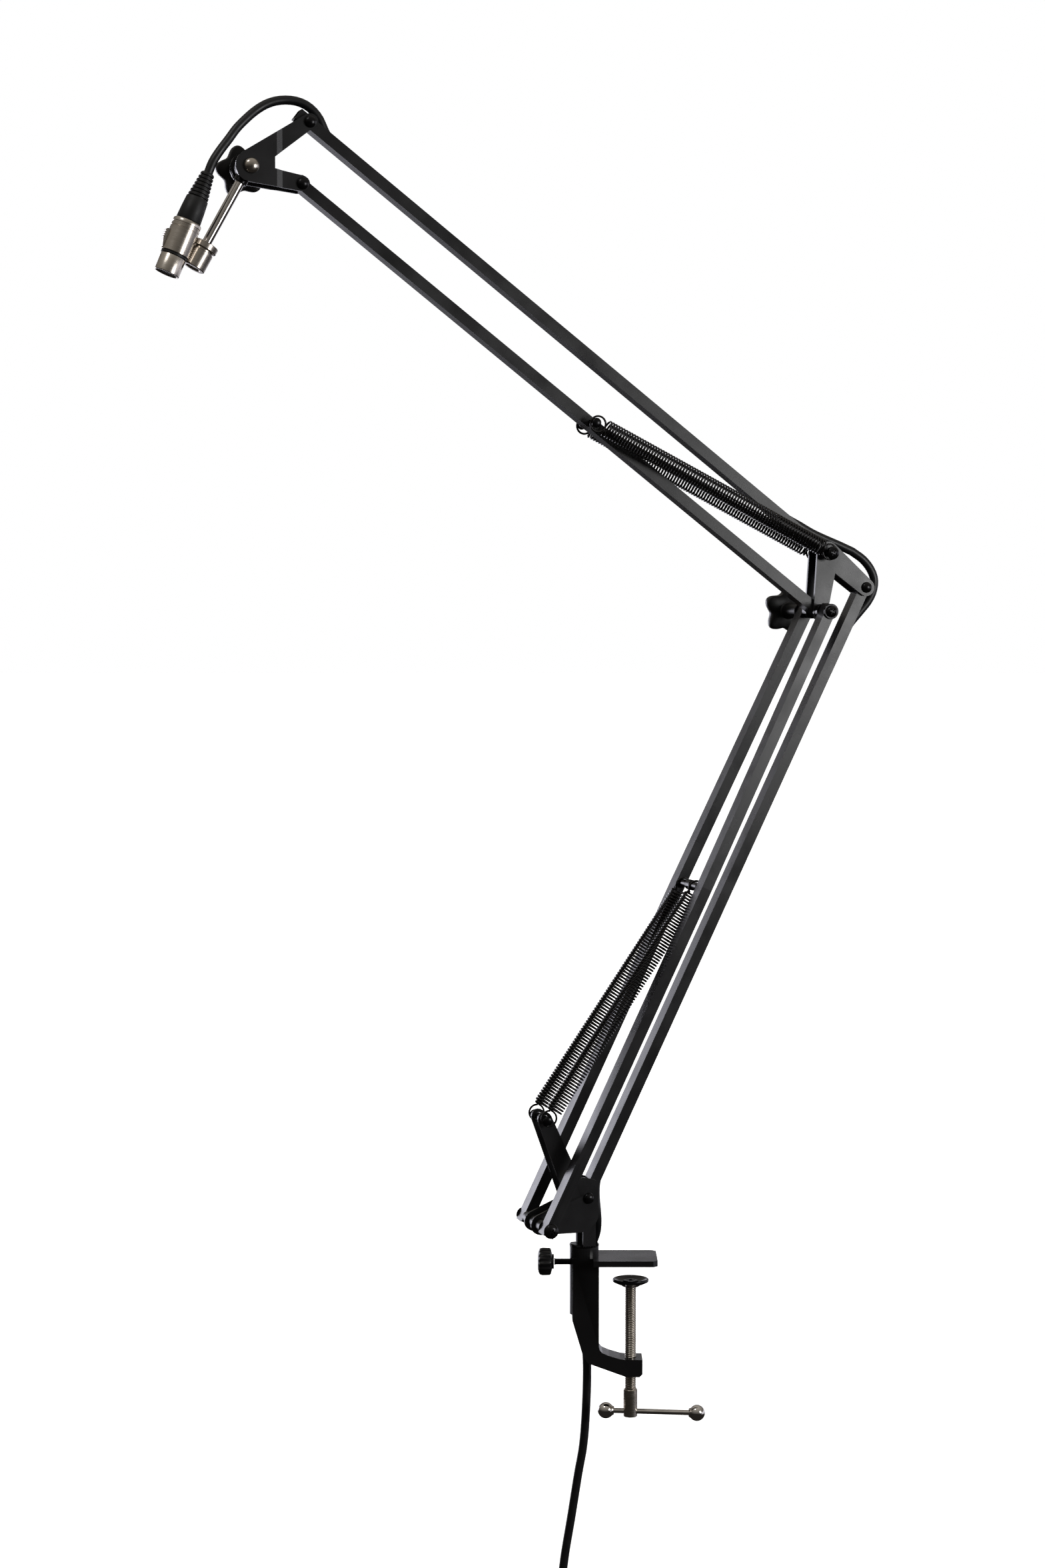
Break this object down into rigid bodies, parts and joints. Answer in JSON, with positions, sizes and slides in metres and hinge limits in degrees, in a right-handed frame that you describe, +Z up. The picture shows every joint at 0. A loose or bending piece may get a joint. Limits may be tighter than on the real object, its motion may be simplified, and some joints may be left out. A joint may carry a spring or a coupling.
{
  "type": "microphone boom arm",
  "caption": "Desk-clamp scissor boom arm for a microphone, with spring-balanced parallelogram sections and a built-in audio cable.",
  "frame": {"origin": "centre of the clamp's desk face: the underside of the upper jaw, over the clamp screw's axis", "axes": "+Z up along the screw and the post, +X out along the jaw into the desk, arm plane swivelled 17.5 degrees about the post"},
  "size_m": [0.4868, 0.2139, 1.1807],
  "materials": {
    "powder_black": "satin black powder coat",
    "cast_black": "semi-gloss black paint on a casting",
    "spring_black": "black oxide spring wire",
    "screw_black": "gloss black plated steel",
    "plastic_black": "moulded black plastic",
    "rubber_black": "soft black rubber boot",
    "cable_black": "satin black cable jacket",
    "nickel": "satin nickel plate",
    "chrome": "polished chrome plate",
    "insert_grey": "grey moulded insert",
    "strap_black": "black hook-and-loop strap"
  },
  "bodies": {
    "clamp": {"clamp_frame": "cast_black", "cable_tail": "cable_black", "cable_coil": "cable_black", "cable_strap": "strap_black", "cable_end": "cable_black", "male_plug_boot": "rubber_black", "male_plug_shell": "nickel", "male_plug_contacts": "insert_grey"},
    "lock_screw": {"lock_stem": "screw_black", "lock_knob": "plastic_black"},
    "jack_pad": {"clamp_pad": "cast_black"},
    "jack_screw": {"clamp_screw": "nickel"},
    "tommy": {"tommy_bar": "chrome", "tommy_ball_left": "chrome", "tommy_ball_right": "chrome"},
    "base_bracket": {"base_plate_near": "powder_black", "base_plate_far": "powder_black", "base_post": "screw_black", "base_front_bolt": "screw_black", "base_rear_pin": "screw_black", "spring_arm_pin": "screw_black", "base_spacer_centre": "screw_black", "base_spacer_near": "screw_black", "base_spacer_far": "screw_black", "base_cable": "cable_black"},
    "lower_rear": {"lower_rear_tube": "powder_black"},
    "lower_front": {"lower_tube_near": "powder_black", "lower_tube_far": "powder_black", "lower_cross_pin": "screw_black", "lower_spring_near": "spring_black", "lower_spring_far": "spring_black"},
    "elbow_bracket": {"elbow_plate_near": "powder_black", "elbow_plate_far": "powder_black", "elbow_spring_pin": "screw_black", "elbow_rear_pin": "screw_black", "elbow_main_bolt": "screw_black", "elbow_washer_near": "screw_black", "elbow_washer_far": "screw_black", "elbow_cable_lower": "cable_black", "elbow_cable_upper": "cable_black"},
    "elbow_star": {"elbow_knob": "plastic_black"},
    "upper_top": {"upper_top_tube": "powder_black"},
    "upper_lower": {"upper_lower_tube": "powder_black", "upper_spring_pin": "screw_black", "upper_spring_near": "spring_black", "upper_spring_far": "spring_black"},
    "head_bracket": {"head_plate_near": "powder_black", "head_plate_far": "powder_black", "head_upper_pin": "screw_black", "head_lower_pin": "screw_black", "head_bolt": "nickel", "head_cable": "cable_black", "plug_boot": "rubber_black", "plug_shell": "nickel", "plug_insert": "insert_grey"},
    "head_star": {"head_knob": "plastic_black"},
    "mic_mount": {"mount_hub": "screw_black", "mount_rod": "chrome", "mount_adapter": "nickel"},
    "plug_latch": {"plug_latch": "nickel"}
  },
  "joints": [
    {"name": "lock_turn", "type": "hinge", "parent": "clamp", "child": "lock_screw", "pos_m": [-0.055, 0, 0], "axis": [1, 0, 0], "continuous": true},
    {"name": "jack_lift", "type": "slide", "parent": "clamp", "child": "jack_pad", "axis": [0, 0, 1], "range_m": [-0.042, 0.0093]},
    {"name": "jack_spin", "type": "hinge", "parent": "jack_pad", "child": "jack_screw", "pos_m": [0, 0, -0.05], "axis": [0, 0, 1], "range_deg": [-12000, 2640], "deforming": ["cable_tail"]},
    {"name": "tommy_slide", "type": "slide", "parent": "jack_screw", "child": "tommy", "axis": [0.9936, -0.1132, 0], "range_m": [-0.029, 0]},
    {"name": "base_swivel", "type": "hinge", "parent": "clamp", "child": "base_bracket", "pos_m": [-0.032, 0, 0], "axis": [0, 0, 1], "range_deg": [-90, 90], "deforming": ["cable_tail", "base_cable"]},
    {"name": "lower_fold", "type": "hinge", "parent": "base_bracket", "child": "lower_rear", "pos_m": [-0.03166, 0.00011, 0.04546], "axis": [0.3007, -0.9537, 0], "range_deg": [-20, 41], "deforming": ["base_cable", "elbow_cable_lower"]},
    {"name": "lower_front_fold", "type": "hinge", "parent": "base_bracket", "child": "lower_front", "pos_m": [-0.06443, -0.01022, 0.029], "axis": [0.3007, -0.9537, 0], "range_deg": [-20, 41], "deforming": ["lower_spring_near", "lower_spring_far"]},
    {"name": "elbow_fold", "type": "hinge", "parent": "lower_rear", "child": "elbow_bracket", "pos_m": [0.16275, 0.06141, 0.4634], "axis": [0.3007, -0.9537, 0], "range_deg": [-41, 20]},
    {"name": "elbow_knob_turn", "type": "hinge", "parent": "elbow_bracket", "child": "elbow_star", "pos_m": [0.12096, 0.07968, 0.44694], "axis": [0.3007, -0.9537, 0], "continuous": true},
    {"name": "upper_fold", "type": "hinge", "parent": "elbow_bracket", "child": "upper_top", "pos_m": [0.13504, 0.05267, 0.48719], "axis": [0.3007, -0.9537, 0], "range_deg": [-40, 55], "deforming": ["elbow_cable_upper", "head_cable"]},
    {"name": "upper_lower_fold", "type": "hinge", "parent": "elbow_bracket", "child": "upper_lower", "pos_m": [0.12998, 0.05107, 0.44694], "axis": [0.3007, -0.9537, 0], "range_deg": [-40, 55], "deforming": ["upper_spring_near", "upper_spring_far"]},
    {"name": "head_fold", "type": "hinge", "parent": "upper_top", "child": "head_bracket", "pos_m": [-0.21569, -0.05792, 0.76734], "axis": [0.3007, -0.9537, 0], "range_deg": [-55, 40]},
    {"name": "head_knob_turn", "type": "hinge", "parent": "head_bracket", "child": "head_star", "pos_m": [-0.25966, -0.05081, 0.73729], "axis": [0.3007, -0.9537, 0], "continuous": true},
    {"name": "mount_tilt", "type": "hinge", "parent": "head_bracket", "child": "mic_mount", "pos_m": [-0.25365, -0.06989, 0.73729], "axis": [0.3007, -0.9537, 0], "range_deg": [0, 70]},
    {"name": "latch_press", "type": "slide", "parent": "head_bracket", "child": "plug_latch", "axis": [0.8779, 0.2768, -0.3907], "range_m": [0, 0.0015], "stiffness_N_per_m": 600}
  ],
  "couplings": [
    {"joint": "jack_lift", "follows": "jack_spin", "m_per_rad": 0.00019894},
    {"joint": "lower_front_fold", "follows": "lower_fold", "ratio": 1},
    {"joint": "elbow_fold", "follows": "lower_fold", "ratio": -1},
    {"joint": "upper_lower_fold", "follows": "upper_fold", "ratio": 1},
    {"joint": "head_fold", "follows": "upper_fold", "ratio": -1}
  ]
}
